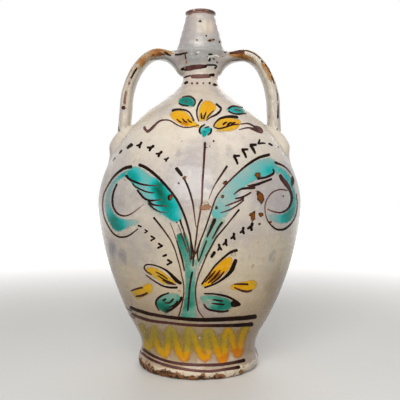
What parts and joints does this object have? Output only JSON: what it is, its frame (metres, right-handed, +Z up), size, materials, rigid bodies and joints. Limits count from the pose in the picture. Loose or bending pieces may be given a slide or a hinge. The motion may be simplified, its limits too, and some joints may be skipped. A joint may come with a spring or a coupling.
{
  "type": "two-handled water jug",
  "caption": "Tall round-bellied earthenware water jug with a narrow tapered neck, a flared foot and strap handles from collar to shoulder.",
  "frame": {"origin": "centre of the foot's underside, on the surface the jug stands on", "axes": "+Z up along the jug's turned axis; the handles lie on -X and +X; -Y faces the painted front"},
  "size_m": [0.257, 0.257, 0.45],
  "materials": {
    "tin_glaze": "glossy, crazed and worn tin glaze with painted ornament",
    "handle_glaze": "glossy tin glaze, thin and ochre along the ridge"
  },
  "bodies": {
    "root": {"foot": "tin_glaze", "lower_belly": "tin_glaze", "upper_belly": "tin_glaze", "neck_collar": "tin_glaze", "spout": "tin_glaze", "left_handle": "handle_glaze", "right_handle": "handle_glaze", "left_handle_pad": "handle_glaze", "right_handle_pad": "handle_glaze"}
  },
  "joints": []
}
